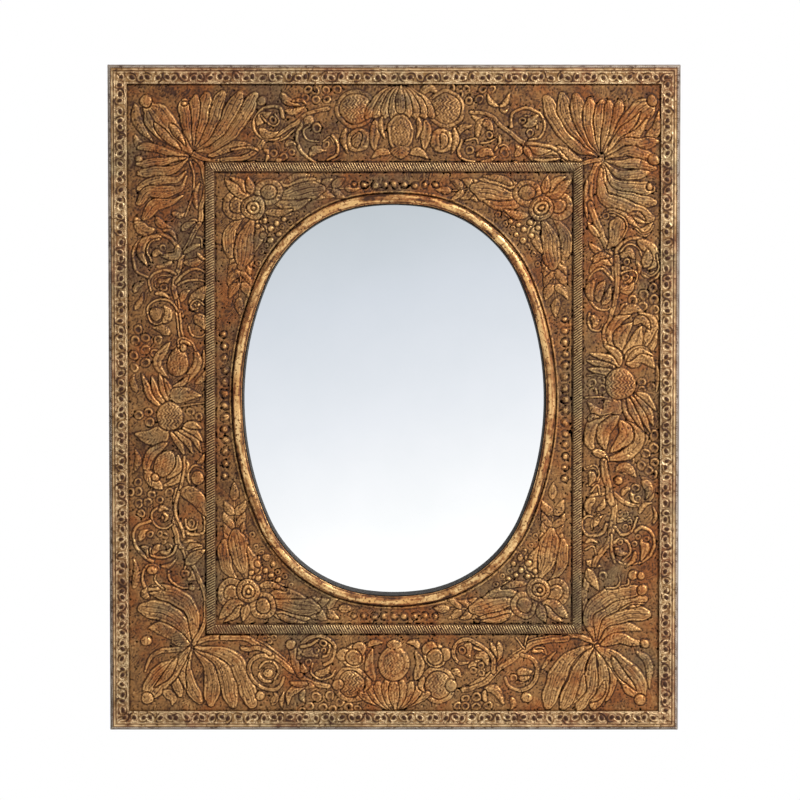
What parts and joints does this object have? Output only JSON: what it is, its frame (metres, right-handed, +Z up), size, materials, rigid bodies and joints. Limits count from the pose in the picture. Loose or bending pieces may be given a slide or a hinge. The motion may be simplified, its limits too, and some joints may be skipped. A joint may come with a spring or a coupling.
{
  "type": "wall mirror",
  "caption": "Rectangular wall mirror with an oval sight in an embossed, gilded tin frame with corner palmettes, vines and a punched rim, and hinged hanging rings on the back.",
  "frame": {"origin": "centre of the back board's back face, in the plane of the frame's back", "axes": "front faces -Y, +Z up, +X to the viewer's right"},
  "size_m": [0.61, 0.037, 0.712],
  "materials": {
    "pine": "planed, aged, unfinished",
    "plywood": "sanded",
    "gilt_tin": "embossed tin with rubbed antique gilding over red-brown ground",
    "gilt_wood": "gilded half-round, rubbed and spotted",
    "ebonised_wood": "dark stain, satin",
    "mirror": "silvered glass",
    "card": "grey-brown board",
    "hardboard": "tempered hardboard, smooth",
    "steel": "zinc-plated"
  },
  "bodies": {
    "frame": {"stile_left": "pine", "stile_right": "pine", "rail_top": "pine", "rail_bottom": "pine", "oval_panel": "plywood", "frieze_sheet": "gilt_tin", "panel_sheet": "gilt_tin", "rim_top": "gilt_tin", "rim_bottom": "gilt_tin", "rim_left": "gilt_tin", "rim_right": "gilt_tin", "rope_top": "gilt_tin", "rope_bottom": "gilt_tin", "rope_left": "gilt_tin", "rope_right": "gilt_tin", "oval_moulding": "gilt_wood", "sight_liner": "ebonised_wood", "mirror_glass": "mirror", "backing_card": "card", "back_board": "hardboard", "corner_nails": "steel", "back_brads": "steel", "hanger_screws": "steel", "hanger_plate_left": "steel", "hanger_plate_right": "steel"},
    "ring_left": {"hanger_ring_left": "steel"},
    "ring_right": {"hanger_ring_right": "steel"}
  },
  "joints": [
    {"name": "ring_left_hinge", "type": "hinge", "parent": "frame", "child": "ring_left", "pos_m": [-0.25, 0.00325, 0.176], "axis": [1, 0, 0], "range_deg": [0, 175]},
    {"name": "ring_right_hinge", "type": "hinge", "parent": "frame", "child": "ring_right", "pos_m": [0.25, 0.00325, 0.176], "axis": [1, 0, 0], "range_deg": [0, 175]}
  ]
}
